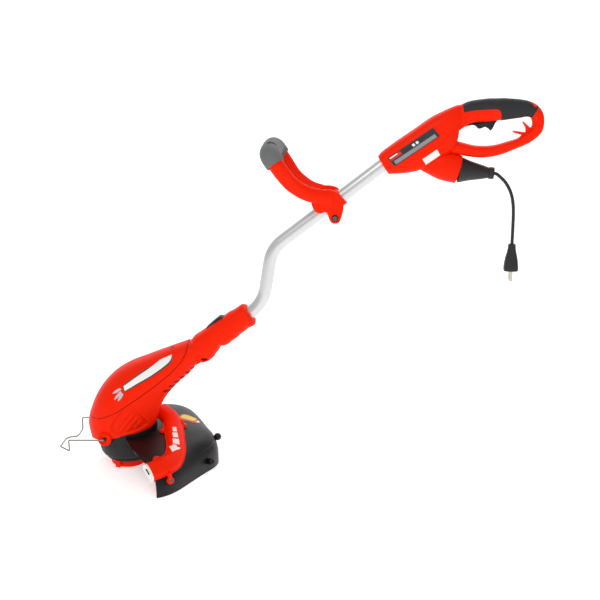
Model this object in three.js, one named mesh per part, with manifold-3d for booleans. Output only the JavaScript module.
import * as THREE from 'three';
import { mergeVertices } from 'three/addons/utils/BufferGeometryUtils.js';
import Module from 'manifold-3d';

const wasm = await Module();
wasm.setup();

// Corded string trimmer with a swivelling head, in millimetres. +X runs from the head back to the
// rear handle, +Y to the tool's right-hand side and +Z up. The working frame has its origin on the
// ground under the spool, and the finished group is moved so that its origin is in the rear grip.

// ---- Driving dimensions ----------------------------------------------------------------------
const GAP = 0.3;                    // air left between two pieces that touch
const SHELL_WALL = 2.8;             // wall of the moulded housings
const TUBE_RADIUS = 12;             // bent boom tube, outside
const TUBE_WALL = 1.5;
const LEAD_RADIUS = 3.2;            // mains lead inside the boom
const LOWER_BEND = [264, 326];      // where the neck run and the steep run of the boom meet
const UPPER_BEND = [280.5, 427];    // where the steep run and the upper run meet
const BOOM_TOP = [512, 607.5];      // upper end of the boom, inside the rear handle
const NECK_ANGLE = 41.5;            // slope of the neck, which is also the swivel axis, degrees
const NECK_DEPTH = 78;              // how far the boom reaches down the neck from the lower bend
const BEND_SOFTNESS = 26;           // how far before and after its corner a bend starts
const GRIP_POINT = [684, 683];      // middle of the rear grip, where a hand holds the tool
const GUARD_HEIGHT = 72;
const GUARD_RIM = 159;
const GUARD_WALL = 3;
const HUB_RADIUS = 56.5;            // motor base, which the guard fits around
const SPOOL_RADIUS = 42;            // turning spool housing
const CAP_RADIUS = 34;
const CAP_HEIGHT = 15;
const SHAFT_RADIUS = 4;
const STATOR_RADIUS = 38;
const ARMATURE_RADIUS = 22.5;
const AIR_GAP = 1;                  // stator bore to armature
const PIVOT_BOLT = [396, 490];      // bolt that the loop handle tilts on
const BOLT_RADIUS = 3;
const COLLAR_HALF = 16;             // half width of the boom collar across the tool
const CORD_RADIUS = 3;
const SCREW_RADIUS = 2;
const SCREW_HEAD = 3.4;
const WIRE_RADIUS = 1.4;
const WIRE_PIVOT = [-33, 68];
const WIRE_HALF_SPAN = 61;          // edge guide's legs, either side of the centre plane
const SLIVER = 0.02;                // cuts leave no feature smaller than this

// ---- Finishes --------------------------------------------------------------------------------
const FINISH = {
  red: [0xf5330f, 0.42, 0],
  black: [0x1d1e20, 0.55, 0],
  grip: [0x222427, 0.8, 0],
  grey: [0x6d6f70, 0.75, 0],
  white: [0xeeeeea, 0.5, 0],
  tube: [0xc9cbcd, 0.3, 0.9],
  steel: [0xb4b7ba, 0.35, 1],
  copper: [0xb5632c, 0.4, 0.9],
  core: [0x55585c, 0.5, 0.8],
  brass: [0xc9a24a, 0.35, 1],
  line: [0x2f8f3a, 0.4, 0],
  label: [0x26282b, 0.6, 0],
  cord: [0x141414, 0.6, 0],
};

// ---- Building blocks -------------------------------------------------------------------------
const trimmer = new THREE.Group();
trimmer.position.set(-GRIP_POINT[0], 0, -GRIP_POINT[1]);

function solid(geometry) {
  const bare = geometry.clone();
  bare.deleteAttribute('normal');
  bare.deleteAttribute('uv');
  const merged = mergeVertices(bare, 1e-4);
  const vertProperties = new Float32Array(merged.attributes.position.array);
  const triVerts = new Uint32Array(merged.index.array);
  return new wasm.Manifold(new wasm.Mesh({ numProp: 3, vertProperties, triVerts }));
}

function add(name, shape, finish) {
  const { vertProperties, triVerts } = shape.asOriginal().simplify(SLIVER).getMesh();
  const geometry = new THREE.BufferGeometry();
  geometry.setAttribute('position', new THREE.BufferAttribute(new Float32Array(vertProperties), 3));
  geometry.setIndex(new THREE.BufferAttribute(new Uint32Array(triVerts), 1));
  geometry.computeVertexNormals();
  const [color, roughness, metalness] = FINISH[finish];
  const mesh = new THREE.Mesh(geometry, new THREE.MeshStandardMaterial({ color, roughness, metalness }));
  mesh.name = name;
  trimmer.add(mesh);
}

// Flattens a ring of points onto its own plane, for capping.
function flattened(ring) {
  const centre = ring.reduce((sum, p) => sum.add(p), new THREE.Vector3()).divideScalar(ring.length);
  const normal = new THREE.Vector3();
  ring.forEach((p, i) => {
    const next = ring[(i + 1) % ring.length];
    normal.add(p.clone().sub(centre).cross(next.clone().sub(centre)));
  });
  normal.normalize();
  const u = ring[0].clone().sub(centre).normalize();
  const v = normal.clone().cross(u);
  return ring.map(p => new THREE.Vector2(p.clone().sub(centre).dot(u), p.clone().sub(centre).dot(v)));
}

// A closed skin through equal rings of points, with both ends capped.
function skin(rings) {
  const count = rings[0].length;
  const index = [];
  for (let i = 0; i < rings.length - 1; i += 1) {
    for (let j = 0; j < count; j += 1) {
      const k = (j + 1) % count;
      const [a, b, c, d] = [i * count + j, i * count + k, (i + 1) * count + j, (i + 1) * count + k];
      index.push(a, b, c, c, b, d);
    }
  }
  for (const [row, flip] of [[0, true], [rings.length - 1, false]]) {
    const flat = flattened(rings[row]);
    for (const face of THREE.ShapeUtils.triangulateShape(flat, [])) {
      const area = THREE.ShapeUtils.area(face.map(i => flat[i]));
      const ordered = (area > 0) === flip ? face.slice().reverse() : face;
      index.push(...ordered.map(i => row * count + i));
    }
  }
  const positions = rings.flat().flatMap(p => [p.x, p.y, p.z]);
  let volume = 0;
  const points = rings.flat();
  for (let i = 0; i < index.length; i += 3) {
    const [a, b, c] = [points[index[i]], points[index[i + 1]], points[index[i + 2]]];
    volume += a.dot(b.clone().cross(c));
  }
  if (volume < 0) index.reverse();
  const geometry = new THREE.BufferGeometry();
  geometry.setAttribute('position', new THREE.Float32BufferAttribute(positions, 3));
  geometry.setIndex(index);
  return solid(geometry);
}

// A body lofted through sections that each run from a point on its upper outline to one on its
// lower outline. A section is [upper [x, z], lower [x, z], half width, squareness].
function lofted(sections, { steps = 2, sides = 24, grow = 0 } = {}) {
  const rows = sections.map(([upper, lower, half, square = 2.4]) => {
    const across = new THREE.Vector2(upper[0] - lower[0], upper[1] - lower[1]).normalize();
    return {
      upper: new THREE.Vector3(upper[0] + across.x * grow, half + grow, upper[1] + across.y * grow),
      lower: new THREE.Vector3(lower[0] - across.x * grow, square, lower[1] - across.y * grow),
    };
  });
  const upper = new THREE.CatmullRomCurve3(rows.map(row => row.upper), false, 'catmullrom', 0.5);
  const lower = new THREE.CatmullRomCurve3(rows.map(row => row.lower), false, 'catmullrom', 0.5);
  const total = (sections.length - 1) * steps;
  const rings = [];
  for (let i = 0; i <= total; i += 1) {
    const top = upper.getPoint(i / total);
    const low = lower.getPoint(i / total);
    const power = 2 / low.y;
    const ring = [];
    for (let j = 0; j < sides; j += 1) {
      const angle = (2 * Math.PI * j) / sides;
      const c = Math.sign(Math.cos(angle)) * Math.abs(Math.cos(angle)) ** power;
      const s = Math.sign(Math.sin(angle)) * Math.abs(Math.sin(angle)) ** power;
      ring.push(new THREE.Vector3(
        (top.x + low.x) / 2 + ((top.x - low.x) / 2) * c,
        top.y * s,
        (top.z + low.z) / 2 + ((top.z - low.z) / 2) * c,
      ));
    }
    rings.push(ring);
  }
  return skin(rings);
}

// A plate whose outline is drawn in X and Z and which runs from y0 to y1.
function plate(outline, y0, y1) {
  const shape = outline instanceof THREE.Shape
    ? outline
    : new THREE.Shape(outline.map(([x, z]) => new THREE.Vector2(x, z)));
  const geometry = new THREE.ExtrudeGeometry(shape, { depth: y1 - y0, bevelEnabled: false,
    curveSegments: 10 });
  geometry.rotateX(Math.PI / 2);
  geometry.translate(0, y1, 0);
  return solid(geometry);
}

// A turned piece about the vertical through (x, y); its profile is pairs of radius and height.
function turned(profile, sides = 32, [x, y] = [0, 0]) {
  const geometry = new THREE.LatheGeometry(profile.map(([r, z]) => new THREE.Vector2(r, z)), sides);
  geometry.rotateX(Math.PI / 2);
  geometry.translate(x, y, 0);
  return aligned(solid(geometry));
}

function aligned(shape) {
  if (shape.volume() >= 0) return shape;
  const { vertProperties, triVerts } = shape.getMesh();
  return new wasm.Manifold(new wasm.Mesh({
    numProp: 3, vertProperties, triVerts: Uint32Array.from(triVerts).reverse(),
  }));
}

// The main piece of a cut, without the slivers that the cut leaves loose.
const largest = shape => shape.decompose().sort((a, b) => b.volume() - a.volume())[0];

const ring = (inner, outer, z0, z1, sides = 32, centre = [0, 0]) => turned(
  [[inner, z0], [outer, z0], [outer, z1], [inner, z1], [inner, z0]], sides, centre);
const disc = (radius, z0, z1, sides = 32, centre = [0, 0]) => turned(
  [[0, z0], [radius, z0], [radius, z1], [0, z1]], sides, centre);

// Turns and moves a piece made about the Z axis so that Z runs along a direction from a point.
function along(shape, origin, direction) {
  const turn = new THREE.Quaternion().setFromUnitVectors(
    new THREE.Vector3(0, 0, 1), new THREE.Vector3(...direction).normalize());
  const matrix = new THREE.Matrix4().compose(
    new THREE.Vector3(...origin), turn, new THREE.Vector3(1, 1, 1));
  return shape.transform(matrix.elements);
}

// A round bar or wire through points, with softened corners.
function wire(points, radius, { sides = 8, steps = 40, bore = 0, tension = 0.5 } = {}) {
  const path = points instanceof THREE.Curve
    ? points
    : new THREE.CatmullRomCurve3(points.map(p => new THREE.Vector3(...p)), false, 'catmullrom', tension);
  const circle = r => Array.from({ length: sides }, (_, i) => new THREE.Vector2(
    r * Math.cos((2 * Math.PI * i) / sides), r * Math.sin((2 * Math.PI * i) / sides)));
  const shape = new THREE.Shape(circle(radius));
  if (bore) shape.holes.push(new THREE.Path(circle(bore).reverse()));
  return aligned(solid(new THREE.ExtrudeGeometry(shape, { steps, extrudePath: path,
    bevelEnabled: false })));
}

// A coil spring standing on the Z axis.
function coil(radius, wireRadius, z0, z1, turns) {
  const points = [];
  const perTurn = 8;
  for (let i = 0; i <= turns * perTurn; i += 1) {
    const angle = (2 * Math.PI * i) / perTurn;
    points.push([radius * Math.cos(angle), radius * Math.sin(angle),
      z0 + ((z1 - z0) * i) / (turns * perTurn)]);
  }
  return wire(points, wireRadius, { sides: 5, steps: turns * perTurn });
}

const halfSpace = side => plate(
  [[-400, -200], [1200, -200], [1200, 1200], [-400, 1200]],
  side < 0 ? -400 : GAP / 2, side < 0 ? -GAP / 2 : 400);

// ---- Boom ------------------------------------------------------------------------------------
const neckRun = new THREE.Vector2(
  Math.cos(THREE.MathUtils.degToRad(NECK_ANGLE)), Math.sin(THREE.MathUtils.degToRad(NECK_ANGLE)));
const onNeck = (along_, above = 0) => [
  LOWER_BEND[0] + neckRun.x * along_ - neckRun.y * above,
  LOWER_BEND[1] + neckRun.y * along_ + neckRun.x * above,
];

// A round rod along the boom's line: straight runs joined by two soft bends in the centre plane.
const BEND_STEPS = 6;
function boomRod(start, end, radius, sides) {
  const corners = [start, LOWER_BEND, UPPER_BEND, end].map(([x, z]) => new THREE.Vector3(x, 0, z));
  const stops = [{ at: corners[0], run: corners[1].clone().sub(corners[0]) }];
  for (let i = 1; i < 3; i += 1) {
    const before = corners[i].clone().lerp(corners[i - 1],
      BEND_SOFTNESS / corners[i].distanceTo(corners[i - 1]));
    const after = corners[i].clone().lerp(corners[i + 1],
      BEND_SOFTNESS / corners[i].distanceTo(corners[i + 1]));
    const bend = new THREE.QuadraticBezierCurve3(before, corners[i], after);
    for (let j = 0; j <= BEND_STEPS; j += 1) {
      stops.push({ at: bend.getPoint(j / BEND_STEPS), run: bend.getTangent(j / BEND_STEPS) });
    }
  }
  stops.push({ at: corners[3], run: corners[3].clone().sub(corners[2]) });
  return skin(stops.map(({ at, run }) => {
    const out = new THREE.Vector3(-run.z, 0, run.x).normalize();
    return Array.from({ length: sides }, (_, i) => {
      const a = (2 * Math.PI * i) / sides;
      return at.clone().addScaledVector(out, radius * Math.cos(a)).add(new THREE.Vector3(0,
        radius * Math.sin(a), 0));
    });
  }));
}

const beyondTop = reach => {
  const run = new THREE.Vector2(BOOM_TOP[0] - UPPER_BEND[0], BOOM_TOP[1] - UPPER_BEND[1]).normalize();
  return [BOOM_TOP[0] + run.x * reach, BOOM_TOP[1] + run.y * reach];
};
add('boom_tube', boomRod(onNeck(-NECK_DEPTH), BOOM_TOP, TUBE_RADIUS, 16)
  .subtract(boomRod(onNeck(-NECK_DEPTH - 5), beyondTop(5), TUBE_RADIUS - TUBE_WALL, 12)), 'tube');
add('inner_lead', boomRod(onNeck(-NECK_DEPTH - 6), beyondTop(22), LEAD_RADIUS, 6), 'cord');

// ---- Motor housing and neck ------------------------------------------------------------------
const headSections = [
  [[-69, 58], [56, 85], 56, 2.3],
  [[-73, 88], [60, 98], 60, 2.3],
  [[-66, 114], [64, 111], 61, 2.3],
  [[-51, 147], [70, 125], 60, 2.3],
  [[-27, 177], [79, 140], 56, 2.3],
  [[4, 199], [91, 155], 51, 2.3],
  [[46, 217], [106, 170], 44, 2.3],
  [[88, 234], [125, 187], 37, 2.3],
  [[127, 251], [147, 204], 31, 2.3],
  [[155, 272], [172, 219], 27, 2.3],
  [[187, 293], [206, 246], 24, 2.2],
  [[216, 313], [238, 272], 22, 2.1],
  [[228, 318], [252, 285], 21.5, 2],
];
const headBase = [[-69, 58], [56, 85]];
const footSection = [[-64, 40], [52, 66], 54, 2.3];
const headLoft = grow => lofted([footSection, ...headSections], { sides: 18, steps: 1, grow });
const headSolid = headLoft(0);
const headInside = grow => lofted([footSection, ...headSections], { sides: 12, steps: 1, grow });
const headHollow = headInside(-SHELL_WALL);
const headCore = headLoft(-SHELL_WALL / 2);    // reaches into the wall, for what grows out of it
const baseSlope = (headBase[1][1] - headBase[0][1]) / (headBase[1][0] - headBase[0][0]);
const baseHeight = x => headBase[0][1] + (x - headBase[0][0]) * baseSlope;
const aboveBase = lift => plate(
  [[-150, baseHeight(-150) + lift], [300, baseHeight(300) + lift], [300, 500], [-150, 500]], -150, 150);

// The neck is solid plastic where it carries the swivel, with a plain bore for the boom.
const neckZone = along(disc(60, 0, 110, 12), [onNeck(-86)[0], 0, onNeck(-86)[1]], [neckRun.x, 0,
  neckRun.y]);
const headSpace = headHollow.subtract(neckZone);
const neckBore = along(disc(TUBE_RADIUS + GAP, 0, 140, 24),
  [onNeck(-92)[0], 0, onNeck(-92)[1]], [neckRun.x, 0, neckRun.y]);

// Button well: a slot across the top of the neck for the swivel release.
const BUTTON_CENTRE = onNeck(-97, 26);
const buttonAxis = [-neckRun.y, 0, neckRun.x];
const BUTTON_LENGTH = 40;
const BUTTON_WIDTH = 17;
function buttonBlock(length, width, low, high) {
  const half = length / 2;
  const shape = new THREE.Shape([
    new THREE.Vector2(-half, low), new THREE.Vector2(half, low),
    new THREE.Vector2(half, high - 2), new THREE.Vector2(half - 3, high),
    new THREE.Vector2(-half + 3, high), new THREE.Vector2(-half, high - 2),
  ]);
  const geometry = new THREE.ExtrudeGeometry(shape, { depth: width, bevelEnabled: false });
  geometry.rotateX(Math.PI / 2);
  geometry.translate(0, width / 2, 0);
  geometry.rotateY(-THREE.MathUtils.degToRad(NECK_ANGLE));
  geometry.translate(BUTTON_CENTRE[0], 0, BUTTON_CENTRE[1]);
  return solid(geometry);
}
const buttonWell = buttonBlock(BUTTON_LENGTH + 2 * GAP, BUTTON_WIDTH + 2 * GAP, -10, 30);

// Eight cooling slots along the lower edge of each side.
const block = (x, y, z) => solid(new THREE.BoxGeometry(x, y, z));
const VENT_COUNT = 8;
const ventSlots = Array.from({ length: VENT_COUNT }, (_, i) => along(
  block(5, 110, 9), [84 + i * 10.2, 0, 147 + i * 8.9], [-0.66, 0, 0.75]));

// The seam between the housing and its separate top cover.
const seamLine = [[-120, 100], [-72, 103], [-40, 108], [-10, 122], [32, 150], [62, 171], [90, 193],
  [112, 216],
  [121, 232], [127, 262]];
const coverCut = lift => plate(
  [...seamLine.map(([x, z]) => [x - lift * 0.5, z + lift * 0.87]), [127, 330], [-120, 330]], -150, 150);

// A screw lying across the tool, its boss and the hole through that boss.
const acrossRod = ([x, z], radius, y0, y1, sides = 12) => along(disc(radius, 0, y1 - y0, sides), [x, y0,
  z], [0, 1, 0]);
const BOSS_RADIUS = 5;
const motorScrews = [[110, 198], [-52, 84]];

const wireBoss = (side, grow = 0) => along(disc(13 + grow, -grow, 12, 20),
  [WIRE_PIVOT[0], side * (WIRE_HALF_SPAN - 15.4), WIRE_PIVOT[1]], [0, side, 0]);
const wireBore = acrossRod(WIRE_PIVOT, WIRE_RADIUS + GAP, -80, 80);

// A screw's head sits in a counterbore below the skin of the body that it holds together.
const SEAT_DEPTH = 3;
const seatOf = (place, body) => body.intersect(acrossRod(place, 1, 0,
  90)).boundingBox().max[1] - SEAT_DEPTH;
const screwHole = (place, body) => acrossRod(place, SCREW_RADIUS + GAP, -14, 90)
  .add(acrossRod(place, SCREW_HEAD + GAP, seatOf(place, body), 90, 14));
function screwAcross(place, body) {
  const seat = seatOf(place, body) + GAP;
  return acrossRod(place, SCREW_RADIUS, -12, seat + 1, 10).add(acrossRod(place, SCREW_HEAD, seat,
    seat + 2.2, 12));
}

let housing = headSolid.intersect(aboveBase(0)).add(wireBoss(-1)).add(wireBoss(1))
  .subtract(headSpace).subtract(wireBore);
for (const place of motorScrews) housing = housing.add(headCore.intersect(acrossRod(place, BOSS_RADIUS,
  -80, 80)));
housing = housing.subtract(neckBore).subtract(buttonWell);
for (const place of motorScrews) housing = housing.subtract(screwHole(place, headSolid));
for (const slot of ventSlots) housing = housing.subtract(slot);
const lowerHousing = housing.subtract(coverCut(0));
add('motor_cover', housing.intersect(coverCut(GAP)), 'red');
add('motor_housing_left', largest(lowerHousing.intersect(halfSpace(-1))), 'red');
add('motor_housing_right', largest(lowerHousing.intersect(halfSpace(1))), 'red');

motorScrews.forEach((place, i) => add(`motor_screw_${i + 1}`, screwAcross(place, headSolid), 'steel'));
add('swivel_button', buttonBlock(BUTTON_LENGTH, BUTTON_WIDTH, -1, 7), 'black');
const buttonSpring = along(coil(4, 0.6, 0, 7.6, 3), [
  BUTTON_CENTRE[0] - buttonAxis[0] * 9.6, 0, BUTTON_CENTRE[1] - buttonAxis[2] * 9.6], buttonAxis);
add('button_spring', buttonSpring, 'steel');

// ---- Motor -----------------------------------------------------------------------------------
const SHAFT_TOP = 172;
const BASE_CEILING = 50;            // top of the plate that carries the lower bearing
const fitted = SHAFT_RADIUS + GAP;  // bore of everything pressed on the shaft
const BEARING_RADIUS = 11.5;
const belowBase = lift => plate(
  [[-150, baseHeight(-150) + lift], [300, baseHeight(300) + lift], [300, -50], [-150, -50]], -150, 150);
const baseCup = turned([[BEARING_RADIUS + GAP, 46], [SPOOL_RADIUS + 2, 46], [SPOOL_RADIUS + 2, 24], [48,
  24],
  [52, 30], [HUB_RADIUS, 48], [HUB_RADIUS, 110], [50, 110], [50, BASE_CEILING], [14.5, BASE_CEILING],
    [14.5, 58],
  [BEARING_RADIUS + GAP, 58], [BEARING_RADIUS + GAP, 46]], 24).intersect(belowBase(-GAP));
const baseFloor = headInside(-SHELL_WALL - GAP).intersect(aboveBase(-4)).intersect(belowBase(3))
  .subtract(disc(50, 40, 120, 24));
const guardScrewAngles = [-50, 45];
const guardScrewHeight = 58;
const radial = (angle, radius, r0, r1, z, sides = 10) => {
  const a = THREE.MathUtils.degToRad(angle);
  return along(disc(radius, 0, r1 - r0, sides), [r0 * Math.cos(a), r0 * Math.sin(a), z], [Math.cos(a),
    Math.sin(a), 0]);
};
let motorBase = baseCup.add(baseFloor);
for (const angle of guardScrewAngles) {
  motorBase = motorBase.subtract(radial(angle, SCREW_RADIUS + GAP, 40, 70, guardScrewHeight));
}
for (const place of motorScrews) motorBase = motorBase.subtract(acrossRod(place, BOSS_RADIUS + GAP, -80,
  80));
motorBase = motorBase.subtract(wireBoss(-1, GAP)).subtract(wireBoss(1, GAP)).subtract(wireBore);
add('motor_base', motorBase, 'black');
add('motor_frame', turned([[STATOR_RADIUS + GAP, BASE_CEILING + GAP], [41, BASE_CEILING + GAP], [41, 140],
  [24, 158], [14.5, 160], [14.5, 168], [BEARING_RADIUS + GAP, 168], [BEARING_RADIUS + GAP, 156], [22,
    155],
  [STATOR_RADIUS + GAP, 138], [STATOR_RADIUS + GAP, BASE_CEILING + GAP]], 20), 'black');
const COIL_BORE = ARMATURE_RADIUS + AIR_GAP;
const COIL_DEPTH = 2.6;             // thickness of the winding inside the core's bore
add('stator_core', ring(COIL_BORE + COIL_DEPTH + GAP, STATOR_RADIUS, 90, 128, 20), 'core');
add('field_coils', turned([[COIL_BORE, 81], [STATOR_RADIUS - 2, 81], [STATOR_RADIUS - 2, 90 - GAP],
  [COIL_BORE + COIL_DEPTH, 90 - GAP], [COIL_BORE + COIL_DEPTH, 128 + GAP], [STATOR_RADIUS - 2, 128 + GAP],
  [STATOR_RADIUS - 2, 131.5], [COIL_BORE, 131.5], [COIL_BORE, 81]], 20), 'copper');
add('bearing_lower', ring(fitted, BEARING_RADIUS, BASE_CEILING + GAP, 57, 16), 'steel');
add('bearing_upper', ring(fitted, BEARING_RADIUS, 160, 167, 16), 'steel');
for (const [name, side] of [['front', -1], ['rear', 1]]) {
  add(`brush_${name}`, block(22, 6, 6).translate([side * (11 + GAP + 11), 0, 135.5]), 'core');
}

// Everything on the motor shaft turns together: armature, fan, spool housing, spool and cap.
add('motor_shaft', disc(SHAFT_RADIUS, CAP_HEIGHT, SHAFT_TOP, 16), 'steel');
add('armature', turned([[fitted, 84], [17, 84], [19, 90], [ARMATURE_RADIUS, 90], [ARMATURE_RADIUS, 128],
  [19, 128], [17, 131], [fitted, 131], [fitted, 84]], 16), 'copper');
add('commutator', ring(fitted, 11, 131.5, 145, 16), 'brass');
const FAN_BLADES = 8;
let fan = ring(fitted, 34, 61, 63, 16).add(ring(fitted, 8, 61, 73, 16));
for (let i = 0; i < FAN_BLADES; i += 1) {
  const blade = block(24, 1.6, 10).translate([21, 0, 67]).rotate([0, 0, (360 * i) / FAN_BLADES]);
  fan = fan.add(blade);
}
add('cooling_fan', fan, 'black');

// ---- Spool -----------------------------------------------------------------------------------
const LINE_HEIGHT = 20.5;
const EYELET_RADIUS = 3.2;
const SKIRT_HEIGHT = 13;            // the cap shows below this height
const eyeletAngles = [115];         // a single-line spool
const tabAngles = [70, 250];        // the cap's two release tabs
let spoolHousing = turned([[fitted, 30], [9, 30], [9, 41], [SPOOL_RADIUS - 3, 41], [SPOOL_RADIUS - 3, 18],
  [CAP_RADIUS + 2 * GAP, 16], [CAP_RADIUS + 2 * GAP, SKIRT_HEIGHT], [CAP_RADIUS + 2, SKIRT_HEIGHT],
  [SPOOL_RADIUS, SKIRT_HEIGHT + 4], [SPOOL_RADIUS, 44], [fitted, 44], [fitted, 30]], 28);
const capTab = (angle, grow = 0) => block(9.3 + 2 * grow, 10 + 2 * grow, 13 + 2 * grow)
  .translate([CAP_RADIUS + 4.15, 0, 10.5]).rotate([0, 0, angle]);
for (const angle of tabAngles) spoolHousing = spoolHousing.subtract(capTab(angle, GAP));
for (const angle of eyeletAngles) {
  spoolHousing = spoolHousing.subtract(radial(angle, EYELET_RADIUS + GAP, 30, 60, LINE_HEIGHT, 14));
}
add('spool_housing', spoolHousing, 'black');
const FLANGE_RADIUS = 30.5;
add('spool', turned([[10.5, 14], [FLANGE_RADIUS, 14], [FLANGE_RADIUS, 16], [13, 16], [13, 36],
  [FLANGE_RADIUS, 36], [FLANGE_RADIUS, 38], [10.5, 38], [10.5, 14]], 20), 'black');
add('line_winding', ring(13 + GAP, 26, 16 + GAP, 36 - GAP, 20), 'line');
add('spool_spring', coil(9, 0.6, 3.8, 29, 4), 'steel');
let spoolCap = turned([[0, 0], [CAP_RADIUS - 3, 0], [CAP_RADIUS, 3], [CAP_RADIUS, CAP_HEIGHT],
  [CAP_RADIUS - 2.5, CAP_HEIGHT], [CAP_RADIUS - 2.5, 3], [7.8, 3], [7.8, 11], [0, 11]], 28);
for (const angle of tabAngles) spoolCap = spoolCap.add(capTab(angle));
add('spool_cap', spoolCap, 'red');
eyeletAngles.forEach(angle => {
  const eyelet = radial(angle, EYELET_RADIUS, SPOOL_RADIUS - 4, SPOOL_RADIUS + 1, LINE_HEIGHT, 14)
    .subtract(radial(angle, 1.6, 20, 70, LINE_HEIGHT, 10));
  add('line_eyelet', eyelet, 'steel');
  add('cutting_line', radial(angle, 1, 26 + GAP, 58, LINE_HEIGHT, 8), 'line');
});

// ---- Guard -----------------------------------------------------------------------------------
// A half dome behind the spool: its rim flares at both front corners and bulges at the very back.
const CORNER_ANGLE = 62;            // where each front corner flares most
function guardRim(angle) {
  const beyond = Math.abs(angle) - CORNER_ANGLE;
  const flare = 22 * Math.exp(-((beyond / (beyond < 0 ? 20 : 13)) ** 2));
  const bulge = 15 * Math.exp(-((angle / 15) ** 2));
  return GUARD_RIM + flare + bulge;
}
const guardSquareness = angle => 4 + 1.2 * Math.tanh(angle / 25);
function domePoint(angle, lift, grow = 0) {
  const rim = guardRim(angle) + grow;
  const top = GUARD_HEIGHT + grow;
  const power = 2 / guardSquareness(angle);
  const a = THREE.MathUtils.degToRad(lift);
  return [rim * Math.cos(a) ** power, top * Math.sin(a) ** power];
}
function domeHeight(x, y, grow = 0) {
  const angle = THREE.MathUtils.radToDeg(Math.atan2(y, x));
  const square = guardSquareness(angle);
  const share = Math.min(Math.hypot(x, y) / (guardRim(angle) + grow), 1);
  return (GUARD_HEIGHT + grow) * (1 - share ** square) ** (1 / square);
}
const DOME_STEPS = 8;
const GUARD_NEAR = -63;             // near front edge at the rim, in degrees round the spool
const GUARD_SKEW = 20;              // how much further forward that edge is at the hub
const GUARD_FAR = 74;
function guardRing(t, grow, profile) {
  return profile(GUARD_NEAR + (GUARD_FAR - GUARD_NEAR) * t, grow).map(([r, z]) => {
    const inward = 1 - (r - HUB_RADIUS) / (GUARD_RIM - HUB_RADIUS);
    const near = GUARD_NEAR - GUARD_SKEW * Math.max(inward, 0);
    const angle = THREE.MathUtils.degToRad(near + (GUARD_FAR - near) * t);
    return new THREE.Vector3(r * Math.cos(angle), r * Math.sin(angle), z);
  });
}
const COLLAR_DROP = 21;
const shellProfile = angle => {
  const hub = HUB_RADIUS + GAP;
  const outer = Array.from({ length: DOME_STEPS }, (_, i) => domePoint(angle, (82 * i) / DOME_STEPS));
  const inner = Array.from({ length: DOME_STEPS }, (_, i) => domePoint(angle, (82 * i) / DOME_STEPS,
    -GUARD_WALL));
  return [...outer, [hub, GUARD_HEIGHT], [hub, GUARD_HEIGHT - COLLAR_DROP], [hub + GUARD_WALL,
    GUARD_HEIGHT - COLLAR_DROP],
    [hub + GUARD_WALL, GUARD_HEIGHT - GUARD_WALL], ...inner.reverse()];
};
const GUARD_STEPS = 20;
const guardSpan = (profile, grow = 0, before = 0, after = 0) => skin(Array.from(
  { length: GUARD_STEPS + before + after + 1 }, (_, i) => guardRing((i - before) / GUARD_STEPS, grow,
    profile)));
const filledProfile = (angle, grow) => {
  const outer = Array.from({ length: DOME_STEPS }, (_, i) => domePoint(angle, (82 * i) / DOME_STEPS,
    grow));
  return [...outer, [HUB_RADIUS + GAP, GUARD_HEIGHT + grow], [30, GUARD_HEIGHT + grow], [30, -60],
    [outer[0][0], -60]];
};
const guardFilled = guardSpan(filledProfile, GAP, 3, 1);

let guard = guardSpan(shellProfile);
for (const angle of guardScrewAngles) guard = guard.subtract(radial(angle, SCREW_RADIUS + GAP, 50, 62,
  guardScrewHeight));

// Cutter blade moulded into the guard's far front edge, where it trims the line.
const BLADE_ANGLE = 66;
const bladeBlock = grow => block(24 + 2 * grow, 1.5 + 2 * grow, 14 + 2 * grow)
  .translate([guardRim(BLADE_ANGLE) - 14.5, 0, 15]).rotate([0, 0, BLADE_ANGLE]);
guard = guard.subtract(bladeBlock(GAP));

// Two ball-ended knobs on the back of the guard.
const knobPlaces = [[8, 44], [-14, 20]];
const KNOB_RADIUS = 7.2;
const knobs = knobPlaces.map(([angle, z]) => {
  const a = THREE.MathUtils.degToRad(angle);
  const square = guardSquareness(angle);
  const skinRadius = guardRim(angle) * (1 - (z / GUARD_HEIGHT) ** square) ** (1 / square);
  const centre = [(skinRadius + KNOB_RADIUS - 1) * Math.cos(a),
    (skinRadius + KNOB_RADIUS - 1) * Math.sin(a), z];
  const ball = solid(new THREE.SphereGeometry(KNOB_RADIUS, 12, 8)).translate(centre);
  const stem = radial(angle, 3, skinRadius - 8, skinRadius + 4, z, 12);
  guard = guard.subtract(radial(angle, 3 + GAP, skinRadius - 12, skinRadius + 8, z, 12));
  return ball.subtract(guardFilled).add(stem);
});

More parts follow.
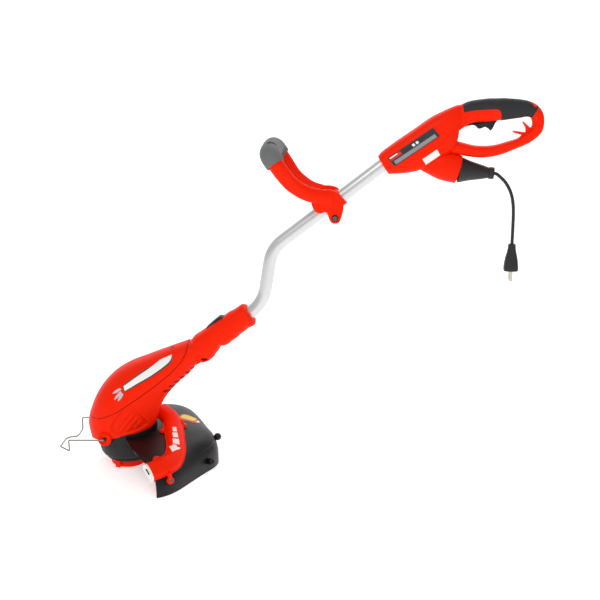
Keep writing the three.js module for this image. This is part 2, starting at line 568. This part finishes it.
// ---- Duct over the guard ---------------------------------------------------------------------
const DUCT_HALF = 17;
const DUCT_RISE = 14;
const DUCT_WALL = 2.4;
const ductRoute = [[64, -150, 0], [88, -132, 0], [102, -108, 0], [104, -77, 0], [98, -44, 0], [90, -10,
  3],
  [79, 14, 13], [58, 27, 24]];
const ductCurve = new THREE.CatmullRomCurve3(
  ductRoute.map(([x, y, lift]) => new THREE.Vector3(x, y, domeHeight(x, y) + lift)), false,
    'catmullrom', 0.5);
function domeNormal(x, y) {
  const step = 1.5;
  const slopeX = (domeHeight(x + step, y) - domeHeight(x - step, y)) / (2 * step);
  const slopeY = (domeHeight(x, y + step) - domeHeight(x, y - step)) / (2 * step);
  return new THREE.Vector3(-slopeX, -slopeY, 1).normalize();
}
function ductRing(t, half, rise, legs, raise = 0) {
  const here = ductCurve.getPoint(t);
  const tangent = ductCurve.getTangent(t);
  const up = domeNormal(here.x, here.y);
  up.addScaledVector(tangent, -up.dot(tangent)).normalize();
  const across = tangent.clone().cross(up);
  const points = Array.from({ length: 8 }, (_, i) => {
    const a = (Math.PI * i) / 7;
    return [half * Math.sign(Math.cos(a)) * Math.abs(Math.cos(a)) ** 0.75, rise * Math.sin(a) ** 0.75];
  });
  return [[half, -legs], ...points, [-half, -legs]].map(([a, b]) =>
    here.clone().addScaledVector(across, a).addScaledVector(up, b + raise));
}
const DUCT_STEPS = 12;
const ductSkin = (half, rise, legs, t0, t1, raise = 0) => {
  const steps = Math.max(Math.round(DUCT_STEPS * (t1 - t0)), 1);
  return skin(Array.from({ length: steps + 1 }, (_, i) => ductRing(t0 + ((t1 - t0) * i) / steps, half,
    rise, legs, raise)));
};
const INSERT_SHARE = 0.022;         // share of the duct's length taken by the white nozzle insert
let duct = ductSkin(DUCT_HALF, DUCT_RISE, 8, INSERT_SHARE, 1)
  .subtract(ductSkin(DUCT_HALF - DUCT_WALL, DUCT_RISE - DUCT_WALL, 12, 0, 1));
const earShares = [[0.15, 1], [0.15, -1], [0.69, -1], [0.77, 1]];
const ears = earShares.map(([t, side]) => {
  const here = ductCurve.getPoint(t);
  const tangent = ductCurve.getTangent(t);
  const up = domeNormal(here.x, here.y);
  up.addScaledVector(tangent, -up.dot(tangent)).normalize();
  const across = tangent.clone().cross(up).multiplyScalar(side * (DUCT_HALF + 3.6));
  const foot = here.clone().add(across);
  foot.z = domeHeight(foot.x, foot.y);
  return { foot, up: domeNormal(foot.x, foot.y) };
});
const onEar = ({ foot, up }, radius, low, high, sides = 10) => along(disc(radius, 0, high - low, sides),
  foot.clone().addScaledVector(up, low).toArray(), up.toArray());
const EAR_HEIGHT = 4;
for (const ear of ears) duct = duct.add(onEar(ear, 5.2, -4, EAR_HEIGHT));
duct = duct.subtract(ductSkin(DUCT_HALF - DUCT_WALL, DUCT_RISE - DUCT_WALL, 12, 0, 1));
for (const ear of ears) {
  duct = duct.subtract(onEar(ear, SCREW_RADIUS + GAP, -8, 10)).subtract(onEar(ear, SCREW_HEAD + GAP,
    EAR_HEIGHT, 20));
  guard = guard.subtract(onEar(ear, SCREW_RADIUS + GAP, -8, 3));
}
const headGrown = headLoft(GAP);
duct = duct.subtract(guardFilled).subtract(headGrown).subtract(disc(HUB_RADIUS + GAP, 20, 120, 40));
duct = largest(duct);
add('guard', guard, 'black');
add('cutter_blade', bladeBlock(0).subtract(ring(guardRim(BLADE_ANGLE) - GAP, 260, -10, 60, 60)), 'steel');
add('duct_cover', duct, 'red');
const slit = ductSkin(7, 4, 1, 0, INSERT_SHARE * 2, 5);
const insert = ductSkin(DUCT_HALF, DUCT_RISE, 8, 0, INSERT_SHARE - 0.002)
  .subtract(guardFilled).subtract(slit);
add('nozzle_insert', insert, 'white');
ears.forEach((ear, i) => add(`duct_screw_${i + 1}`,
  onEar(ear, SCREW_RADIUS, -5, EAR_HEIGHT + GAP, 8).add(onEar(ear, SCREW_HEAD, EAR_HEIGHT + GAP,
    EAR_HEIGHT + 2.4)),
  'steel'));
guardScrewAngles.forEach((angle, i) => add(`guard_screw_${i + 1}`,
  radial(angle, SCREW_RADIUS, 51, HUB_RADIUS + GUARD_WALL + 2 * GAP, guardScrewHeight, 8)
    .add(radial(angle, SCREW_HEAD, HUB_RADIUS + GUARD_WALL + 2 * GAP, HUB_RADIUS + GUARD_WALL + 2.6,
      guardScrewHeight)),
  'steel'));
knobs.forEach((knob, i) => add(`guard_knob_${i + 1}`, knob, 'black'));

// ---- Edge guide ------------------------------------------------------------------------------
const wireHalf = side => [[-33, 51, 68], [-33, 60.2, 68], [-36.5, 63, 67.5], [-60, 62, 66], [-96, 58, 65],
  [-103, 57, 62], [-107, 56, 45], [-110, 52, 41.5], [-124, 30, 41], [-128, 8, 41]].map(([x, y,
    z]) => [x, side * y, z]);
add('edge_guide', wire([...wireHalf(-1), ...wireHalf(1).reverse()], WIRE_RADIUS, { sides: 6,
  steps: 40 }), 'steel');

// ---- Rear handle -----------------------------------------------------------------------------
const upperRun = new THREE.Vector2(BOOM_TOP[0] - UPPER_BEND[0], BOOM_TOP[1] - UPPER_BEND[1]).normalize();
const bodySections = [
  [[471, 598], [492, 566], 19.5, 2.2],
  [[479, 607], [499, 567.5], 22, 2.6],
  [[506, 627], [518, 569], 25, 3],
  [[535, 647], [542, 574], 27, 3.2],
  [[563, 667], [566, 586], 27.5, 3.2],
  [[588, 680], [588, 600], 26, 3],
  [[606, 688], [604, 612], 22, 2.8],
  [[615, 690], [610, 626], 17, 2.6],
];
const gripSections = [
  [[600, 684], [606, 640], 15, 2.6],
  [[632, 696], [634, 658], 17, 2.5],
  [[660, 700], [660, 660.5], 17, 2.3],
  [[690, 701], [689, 664], 17, 2.2],
  [[718, 699], [716, 668], 16.5, 2.2],
  [[740, 694], [732, 670.5], 16, 2.3],
  [[755, 681], [738, 664], 15, 2.4],
  [[760, 664], [739, 654], 14, 2.5],
  [[758, 646], [733, 645], 13.5, 2.5],
  [[749, 634], [722, 637], 13, 2.5],
  [[734, 623], [714, 631], 13, 2.4],
  [[712, 613], [698, 626], 13, 2.4],
  [[690, 604], [680, 620.5], 13, 2.4],
  [[665, 598], [662, 618], 13, 2.4],
  [[640, 598], [639, 619], 13, 2.4],
  [[614, 602], [611, 626], 14, 2.4],
  [[592, 606], [590, 632], 15, 2.4],
];
const INLET_FACE = [614, 575.5];    // middle of the round cord inlet's open end
const INLET_SLOPE = -15;
const inletRun = [
  Math.cos(THREE.MathUtils.degToRad(INLET_SLOPE)), Math.sin(THREE.MathUtils.degToRad(INLET_SLOPE))];
// Sections square to a line from a point; each is [distance along, radius].
const roundSections = (origin, run, list) => list.map(([s, r]) => {
  const centre = [origin[0] + run[0] * s, origin[1] + run[1] * s];
  return [[centre[0] - run[1] * r, centre[1] + run[0] * r], [centre[0] + run[1] * r,
    centre[1] - run[0] * r], r, 2];
});
const inletSections = roundSections(INLET_FACE, inletRun, [[-76, 12], [-66, 18], [-50, 22], [-34, 25.5],
  [-14, 26], [0, 24.5]]);
const bodyLoft = (grow, sides = 16) => lofted(bodySections, { sides, steps: 1, grow });
const gripLoft = grow => lofted(gripSections, { sides: 12, steps: 1, grow });
const inletLoft = (grow, sides = 16) => lofted(inletSections, { sides, steps: 1, grow });

// Outline moved outward by a distance, square to its own edges.
function offset(outline, distance) {
  const centre = THREE.ShapeUtils.area(outline.map(([x, y]) => ({ x, y }))) > 0 ? 1 : -1;
  return outline.map((point, i) => {
    const before = outline[(i + outline.length - 1) % outline.length];
    const after = outline[(i + 1) % outline.length];
    const a = new THREE.Vector2(point[1] - before[1], before[0] - point[0]).normalize();
    const b = new THREE.Vector2(after[1] - point[1], point[0] - after[0]).normalize();
    const joint = a.clone().add(b).divideScalar(1 + a.dot(b)).multiplyScalar(centre * distance);
    return [point[0] + joint.x, point[1] + joint.y];
  });
}

const rearBody = bodyLoft(0).add(inletLoft(0));
const rearSolid = rearBody.add(gripLoft(0));
const boomSocket = along(disc(60, 0, 44, 8),
  [BOOM_TOP[0] - upperRun.x * 56, 0, BOOM_TOP[1] - upperRun.y * 56], [upperRun.x, 0, upperRun.y]);
const boomBore = along(disc(TUBE_RADIUS + GAP, 0, 90, 20),
  [BOOM_TOP[0] + GAP * upperRun.x - upperRun.x * 90, 0, BOOM_TOP[1] + GAP * upperRun.y - upperRun.y * 90],
  [upperRun.x, 0, upperRun.y]);
const BORE_RADIUS = 16;
const inletBore = along(disc(BORE_RADIUS + GAP, -14 - GAP, 10, 20),
  [INLET_FACE[0], 0, INLET_FACE[1]], [inletRun[0], 0, inletRun[1]]);
const inletWall = along(disc(40, -17.5, -14 - GAP, 24), [INLET_FACE[0], 0, INLET_FACE[1]], [inletRun[0],
  0, inletRun[1]]);
const handleScrews = [[540, 592], [598, 655]];

// The soft overmould wraps the grip above the red trigger bar, and all round it behind the bar.
const overmouldOutline = [[617, 722], [617, 673.5], [676, 674.5], [682, 671], [690, 655], [722, 655],
  [737.5, 668],
  [748, 689], [754, 722]];
const OVERMOULD = 2.2;
const gripCore = gripLoft(-OVERMOULD - GAP);
const overmouldZone = plate(offset(overmouldOutline, GAP), -60, 60);

// Trigger, switch and their slot in the grip.
const TRIGGER_HALF = 5.5;
const TRIGGER_PIVOT = [629, 663];
const triggerOutline = [[624, 668], [622.5, 651], [630, 655], [639, 654], [645, 648.5], [650, 648.5],
  [657, 651.5],
  [663, 648.5], [668, 645], [674, 657], [676, 668]];
const switchBox = [[638, 677], [676, 690]];
const rectangle = ([[x0, z0], [x1, z1]]) => [[x0, z0], [x1, z0], [x1, z1], [x0, z1]];
const switchCavity = plate(offset(rectangle([[619, 660], [680, 690]]), GAP), -7.2, 7.2);
const triggerSlot = plate([[619.5, 640], [679, 640], [679, 670], [619.5, 670]], -TRIGGER_HALF - GAP,
  TRIGGER_HALF + GAP);
const pivotPin = grow => acrossRod(TRIGGER_PIVOT, 1.6 + grow, -10 - grow, 10 + grow);

const gripRoot = plate([[600, 588], [800, 588], [800, 800], [600, 800]], -60, 60);
let rearShell = rearSolid.subtract(bodyLoft(-SHELL_WALL, 12).add(inletLoft(-SHELL_WALL, 12))
  .subtract(inletWall).subtract(boomSocket).subtract(gripRoot));
for (const place of handleScrews) rearShell = rearShell.add(bodyLoft(-1.4).intersect(acrossRod(place,
  BOSS_RADIUS, -80, 80, 10)));
rearShell = rearShell.subtract(boomBore).subtract(inletBore).subtract(overmouldZone.subtract(gripCore));
for (const place of handleScrews) rearShell = rearShell.subtract(screwHole(place, bodyLoft(0)));
rearShell = rearShell.subtract(switchCavity).subtract(triggerSlot).subtract(pivotPin(GAP));
add('rear_handle_left', largest(rearShell.intersect(halfSpace(-1))), 'red');
add('rear_handle_right', largest(rearShell.intersect(halfSpace(1))), 'red');
add('grip_overmould', largest(gripLoft(0).intersect(plate(overmouldOutline, -60, 60))
  .subtract(gripLoft(-OVERMOULD)).subtract(bodyLoft(GAP))), 'grip');
handleScrews.forEach((place, i) => add(`handle_screw_${i + 1}`, screwAcross(place, bodyLoft(0)),
  'steel'));
add('trigger', plate(triggerOutline, -TRIGGER_HALF, TRIGGER_HALF).subtract(pivotPin(GAP)), 'black');
add('trigger_pin', pivotPin(0), 'steel');
add('switch_block', plate(rectangle(switchBox), -6.5, 6.5), 'black');
add('trigger_spring', coil(2.6, 0.5, 669, 676.2, 3).translate([655, 0, 0]), 'steel');

// Hook inside the handle that keeps the plug of an extension lead from pulling out.
const retainerOutline = [[742, 634], [733, 634], [706, 642.5], [708, 645], [728, 641], [728, 651], [722,
  660],
  [724.5, 661.5], [736, 652], [742, 652]];
add('cord_retainer', largest(plate(retainerOutline, -5, 5).subtract(gripLoft(GAP))), 'red');
const labelOutline = [[489, 599], [566, 653], [576, 640], [501, 585]];
const LABEL_THICK = 0.7;
add('rating_label', bodyLoft(GAP + LABEL_THICK).subtract(bodyLoft(GAP)).intersect(plate(labelOutline,
  -60, -5)), 'label');

// ---- Cord ------------------------------------------------------------------------------------
const bootSections = roundSections(INLET_FACE, [0.995, -0.1],
  [[0.9, 22.5], [5, 22], [20, 17.5], [42, 12.5], [54, 9.5], [63, 8]]);
const bootPlug = along(disc(BORE_RADIUS, -13.5, 4, 20), [INLET_FACE[0], 0, INLET_FACE[1]], [inletRun[0],
  0, inletRun[1]]);
const faceCut = along(disc(60, -40, GAP, 8), [INLET_FACE[0], 0, INLET_FACE[1]], [inletRun[0], 0,
  inletRun[1]]);
add('strain_relief', lofted(bootSections, { sides: 16, steps: 1 }).subtract(faceCut).add(bootPlug),
  'cord');
const cordRoute = [[677.3, 569.15], [682, 568], [690, 561.5], [697, 554.5], [703, 546], [708, 536],
  [711.8, 524],
  [714, 511], [715, 497], [715.3, 482], [715.4, 466], [715.4, 450], [715.4, 441]];
add('power_cord', wire(cordRoute.map(([x, z]) => [x, 0, z]), CORD_RADIUS, { steps: 26 }), 'cord');
const PLUG_TOP = [715.4, 440.6];
const plugBody = lofted([[[708.9, 440.6], [721.9, 440.6], 6.5, 2.2], [[707.4, 428], [723.4, 428], 8, 2.4],
  [[704.4, 415], [726.4, 415], 10, 2.8], [[702.4, 400], [728.4, 400], 12, 3], [[702.4, 392], [728.4,
    392], 12, 3]],
{ sides: 16, steps: 1 });
const pins = [-6, 6].map(side => block(6.2, 1.6, 22).translate([PLUG_TOP[0], side, 384]));
add('mains_plug', plugBody.add(pins[0]).add(pins[1]), 'cord');

// ---- Loop handle -----------------------------------------------------------------------------
const collarCentre = (() => {
  const back = (PIVOT_BOLT[0] - UPPER_BEND[0]) * upperRun.x + (PIVOT_BOLT[1] - UPPER_BEND[1]) * upperRun.y;
  return [UPPER_BEND[0] + upperRun.x * back, UPPER_BEND[1] + upperRun.y * back];
})();
const COLLAR_LENGTH = 30;
const collarRing = along(disc(19, -COLLAR_LENGTH / 2, COLLAR_LENGTH / 2, 24),
  [collarCentre[0], 0, collarCentre[1]], [upperRun.x, 0, upperRun.y]);
const collarEar = plate([[386, 488], [391, 481.5], [401, 481.5], [406, 488], [409, 512], [388, 512]],
  -9, 9);
add('boom_collar', collarRing.add(collarEar).intersect(plate([[300, 400], [500, 400], [500, 600], [300,
  600]],
  -COLLAR_HALF, COLLAR_HALF)).subtract(along(disc(TUBE_RADIUS + GAP, -40, 40, 24),
  [collarCentre[0], 0, collarCentre[1]], [upperRun.x, 0, upperRun.y]))
  .subtract(acrossRod(PIVOT_BOLT, BOLT_RADIUS + GAP, -40, 40)), 'red');

// Two arms rise from lugs beside the collar and meet in a crossbar that the front hand holds.
// Each station is a point, the direction that its thickness faces, its half depth and half thickness.
const armStations = [
  [[392, -22, 524], [0, -1, 0], 13, 5.5],
  [[368, -25, 529], [0, -1, 0], 13.5, 8.5],
  [[350, -31, 534], [0, -1, 0], 13.5, 10],
  [[334, -39, 543], [0, -1, 0.1], 13.5, 10],
  [[318, -48, 556.5], [0, -1, 0.1], 13.5, 10],
  [[304, -56, 575], [-0.1, -1, 0.1], 14, 10.5],
  [[293, -60, 591], [-0.15, -0.95, 0.2], 14, 12],
  [[285.5, -56, 601.5], [-0.4, -0.75, 0.5], 14.5, 14],
  [[282, -43, 606], [-0.55, -0.3, 0.7], 15, 15],
  [[281, -22, 607], [-0.6, 0, 0.75], 15, 15],
  [[281, 0, 607], [-0.6, 0, 0.75], 15, 15],
];
const mirrored = armStations.slice(0, -1).reverse().map(([p, n, a, b]) => [[p[0], -p[1], p[2]], [n[0],
  -n[1], n[2]], a, b]);
const stations = [...armStations, ...mirrored];
function hoop(from, to, grow, steps = 1, sides = 12) {
  const part = stations.slice(from, to + 1);
  const spine = new THREE.CatmullRomCurve3(part.map(row => new THREE.Vector3(...row[0])), false,
    'catmullrom', 0.5);
  const facing = new THREE.CatmullRomCurve3(part.map(row => new THREE.Vector3(...row[1])), false,
    'catmullrom', 0.5);
  const size = new THREE.CatmullRomCurve3(part.map(row => new THREE.Vector3(row[2], row[3], 0)), false,
    'catmullrom', 0.5);
  const count = (part.length - 1) * steps;
  return skin(Array.from({ length: count + 1 }, (_, i) => {
    const tangent = spine.getTangent(i / count);
    const thick = facing.getPoint(i / count);
    thick.addScaledVector(tangent, -thick.dot(tangent)).normalize();
    const deep = tangent.clone().cross(thick);
    const { x: depth, y: thickness } = size.getPoint(i / count);
    return Array.from({ length: sides }, (_unused, j) => {
      const a = (2 * Math.PI * j) / sides;
      return spine.getPoint(i / count)
        .addScaledVector(deep, (depth + grow) * Math.cos(a))
        .addScaledVector(thick, (thickness + grow) * Math.sin(a));
    });
  }));
}
const GRIP_PAD = 3.5;
const last = stations.length - 1;
const lugOutline = [[386.5, 485.5], [391, 480.5], [396, 479.5], [401, 480.5], [405.5, 485.5], [411,
  508], [397, 538],
  [372, 540], [354, 524], [357, 506], [368, 498], [380, 500]];
const LUG_THICK = 9;
const lugs = [-1, 1].map(side => plate(lugOutline, Math.min(side * (COLLAR_HALF + GAP),
  side * (COLLAR_HALF + GAP + LUG_THICK)),
  Math.max(side * (COLLAR_HALF + GAP), side * (COLLAR_HALF + GAP + LUG_THICK))));
const loopPath = hoop(0, last, 0).subtract(plate([[330, 400], [500, 400], [500, 700], [330, 700]],
  -COLLAR_HALF - GAP, COLLAR_HALF + GAP));
add('loop_handle', loopPath.add(lugs[0]).add(lugs[1])
  .subtract(acrossRod(PIVOT_BOLT, BOLT_RADIUS + GAP, -60, 60)), 'red');
const GRIP_FROM = 6;
add('loop_grip', hoop(GRIP_FROM, last - GRIP_FROM, GRIP_PAD).subtract(hoop(0, last, GAP)), 'grey');
const LUG_FACE = COLLAR_HALF + GAP + LUG_THICK;
add('clamp_bolt', acrossRod(PIVOT_BOLT, BOLT_RADIUS, -LUG_FACE - 1, LUG_FACE + 6)
  .add(acrossRod(PIVOT_BOLT, 5, -LUG_FACE - GAP - 3, -LUG_FACE - GAP, 6)), 'steel');
let knobShape = acrossRod(PIVOT_BOLT, 13, LUG_FACE + 8, LUG_FACE + 20, 18).add(acrossRod(PIVOT_BOLT, 9,
  LUG_FACE + GAP, LUG_FACE + 9, 16));
for (let i = 0; i < 6; i += 1) {
  const a = (2 * Math.PI * i) / 6;
  knobShape = knobShape.subtract(acrossRod([PIVOT_BOLT[0] + 15.5 * Math.cos(a),
    PIVOT_BOLT[1] + 15.5 * Math.sin(a)], 4.4,
    LUG_FACE + 7, LUG_FACE + 30, 8));
}
add('clamp_knob', knobShape.subtract(acrossRod(PIVOT_BOLT, BOLT_RADIUS + GAP, 0, LUG_FACE + 6 + GAP)),
  'black');

export default trimmer;
